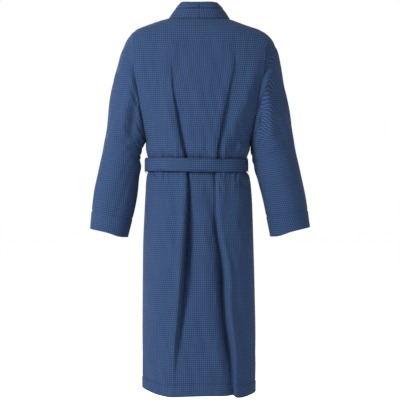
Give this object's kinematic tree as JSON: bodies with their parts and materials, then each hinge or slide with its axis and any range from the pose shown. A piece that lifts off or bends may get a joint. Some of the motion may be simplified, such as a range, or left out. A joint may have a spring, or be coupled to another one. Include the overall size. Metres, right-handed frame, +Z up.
{
  "type": "bathrobe",
  "caption": "Long waffle-weave dressing gown with long sleeves, standing neck band, wrap-over fronts, patch pockets and a tied belt, shaped as it hangs on a wearer.",
  "frame": {"origin": "middle of the neck hole at the height of the shoulder line, where the robe rests on a wearer's shoulders", "axes": "+Z up along the robe, +Y towards its back, +X towards the wearer's left sleeve"},
  "size_m": [0.706, 0.2899, 1.2737],
  "materials": {
    "waffle_cloth": "waffle weave",
    "collar_cloth": "waffle weave, doubled",
    "facing_cloth": "waffle weave, turned in",
    "belt_cloth": "waffle weave, doubled and stitched",
    "loop_tape": "narrow woven tape",
    "label_cloth": "plain woven label"
  },
  "bodies": {
    "robe": {"back_panel": "waffle_cloth", "left_front": "waffle_cloth", "right_front": "waffle_cloth", "collar_left": "collar_cloth", "collar_right": "collar_cloth", "belt_band": "belt_cloth", "belt_knot": "belt_cloth", "belt_loop_left": "loop_tape", "belt_loop_right": "loop_tape", "pocket_left": "waffle_cloth", "pocket_right": "waffle_cloth", "neck_label": "label_cloth"},
    "left_sleeve": {"left_sleeve": "waffle_cloth", "left_cuff_facing": "facing_cloth"},
    "right_sleeve": {"right_sleeve": "waffle_cloth", "right_cuff_facing": "facing_cloth"},
    "belt_end_left": {"belt_tail_left": "belt_cloth"},
    "belt_end_right": {"belt_tail_right": "belt_cloth"},
    "hang_loop": {"hang_loop": "loop_tape"}
  },
  "joints": [
    {"name": "left_sleeve_raise", "type": "hinge", "parent": "robe", "child": "left_sleeve", "pos_m": [0.195, 0, -0.044], "axis": [0, -1, 0], "range_deg": [0, 45]},
    {"name": "right_sleeve_raise", "type": "hinge", "parent": "robe", "child": "right_sleeve", "pos_m": [-0.195, 0, -0.044], "axis": [0, 1, 0], "range_deg": [0, 45]},
    {"name": "belt_end_left_swing", "type": "hinge", "parent": "robe", "child": "belt_end_left", "pos_m": [0.014, -0.1505, -0.504], "axis": [-1, 0, 0], "range_deg": [0, 75]},
    {"name": "belt_end_right_swing", "type": "hinge", "parent": "robe", "child": "belt_end_right", "pos_m": [-0.014, -0.1445, -0.504], "axis": [-1, 0, 0], "range_deg": [0, 75]},
    {"name": "hang_loop_flip", "type": "hinge", "parent": "robe", "child": "hang_loop", "pos_m": [0, 0.0512, 0.006], "axis": [-1, 0, 0], "range_deg": [0, 150]}
  ]
}
